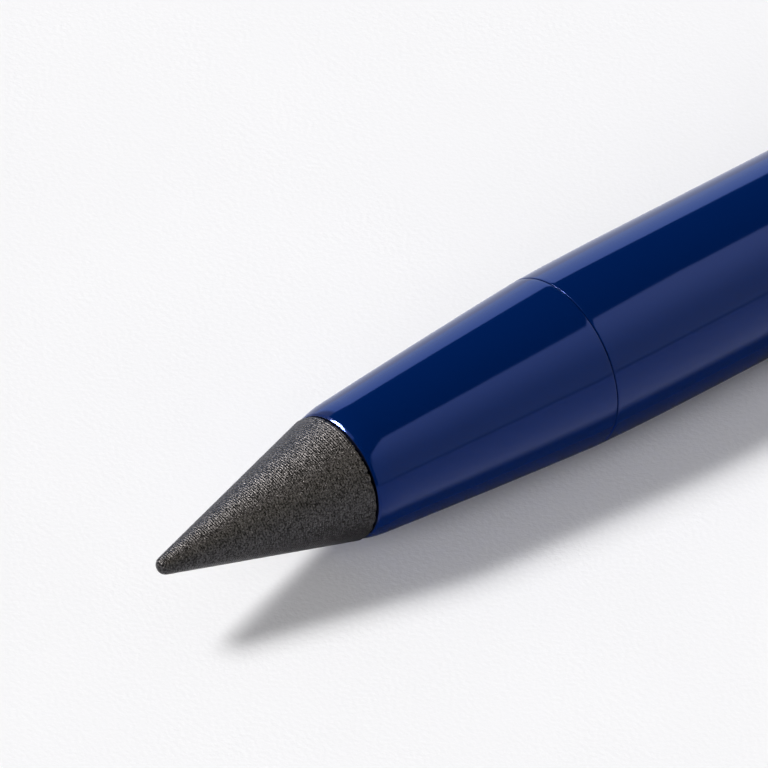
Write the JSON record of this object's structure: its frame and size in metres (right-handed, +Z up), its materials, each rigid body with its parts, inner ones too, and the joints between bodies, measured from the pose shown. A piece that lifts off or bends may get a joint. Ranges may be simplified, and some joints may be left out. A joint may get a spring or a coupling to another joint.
{
  "type": "inkless pencil",
  "caption": "Round lacquered pencil that writes with a bare metal cone; the cone unscrews from its short tapered nose, and the nose unscrews from the barrel.",
  "frame": {"origin": "centre of the bounding box in plan, on the plane that the lying barrel rests on", "axes": "the pencil lies along X with its point at -X and its flat rear end at +X; +Z is up"},
  "size_m": [0.16, 0.008, 0.008],
  "materials": {
    "blue_lacquer": "deep blue high gloss lacquer over turned aluminium",
    "tip_alloy": "bare dark grey writing alloy, turned, fine rings and small pores",
    "brass": "bright turned brass",
    "black_rubber": "matt black rubber"
  },
  "bodies": {
    "barrel": {"barrel": "blue_lacquer", "barrel_bush": "brass", "end_plug": "blue_lacquer"},
    "joint_ring": {"joint_ring": "black_rubber"},
    "nose": {"nose_section": "blue_lacquer", "nose_insert": "brass", "joint_spigot": "brass"},
    "tip_washer": {"tip_washer": "black_rubber"},
    "tip": {"writing_tip": "tip_alloy", "tip_stud": "brass"}
  },
  "joints": [
    {"name": "nose_travel", "type": "slide", "parent": "barrel", "child": "joint_ring", "axis": [-1, 0, 0], "range_m": [0, 0.006]},
    {"name": "nose_turn", "type": "hinge", "parent": "joint_ring", "child": "nose", "pos_m": [-0.0577, 0, 0.004], "axis": [-1, 0, 0], "range_deg": [0, 4320]},
    {"name": "tip_travel", "type": "slide", "parent": "nose", "child": "tip_washer", "axis": [-1, 0, 0], "range_m": [0, 0.00405]},
    {"name": "tip_turn", "type": "hinge", "parent": "tip_washer", "child": "tip", "pos_m": [-0.0703, 0, 0.004], "axis": [-1, 0, 0], "range_deg": [0, 3240]}
  ],
  "couplings": [
    {"joint": "nose_turn", "follows": "nose_travel", "rad_per_m": 12566},
    {"joint": "tip_turn", "follows": "tip_travel", "rad_per_m": 13963}
  ]
}
